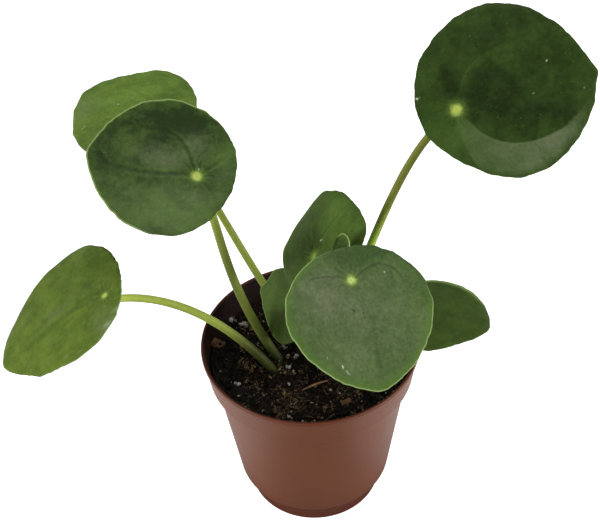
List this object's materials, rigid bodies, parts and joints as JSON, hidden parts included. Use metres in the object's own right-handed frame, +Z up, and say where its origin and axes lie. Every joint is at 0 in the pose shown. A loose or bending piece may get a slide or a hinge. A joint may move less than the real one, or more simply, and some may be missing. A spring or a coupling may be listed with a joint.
{
  "type": "potted plant",
  "caption": "Young Chinese money plant with round coin-like leaves on slim stalks, in a thin terracotta-coloured plastic nursery pot full of soil.",
  "frame": {"origin": "middle of the pot's flat underside", "axes": "+X to the right in the picture, +Y away from its camera, +Z straight up out of the pot"},
  "size_m": [0.1986, 0.1191, 0.1905],
  "materials": {
    "pot_plastic": "satin",
    "potting_soil": "matte",
    "stem_bark": "matte",
    "leaf_blade": "satin",
    "leaf_stalk": "satin"
  },
  "bodies": {
    "root": {"pot": "pot_plastic", "soil": "potting_soil", "main_stem": "stem_bark", "blade_tall_right": "leaf_blade", "stalk_tall_right": "leaf_stalk", "blade_upper_left": "leaf_blade", "stalk_upper_left": "leaf_stalk", "blade_back_left": "leaf_blade", "stalk_back_left": "leaf_stalk", "blade_low_left": "leaf_blade", "stalk_low_left": "leaf_stalk", "blade_centre_back": "leaf_blade", "stalk_centre_back": "leaf_stalk", "blade_centre_front": "leaf_blade", "stalk_centre_front": "leaf_stalk", "blade_low_right": "leaf_blade", "stalk_low_right": "leaf_stalk", "blade_small_left": "leaf_blade", "stalk_small_left": "leaf_stalk", "blade_young": "leaf_blade", "stalk_young": "leaf_stalk"}
  },
  "joints": []
}
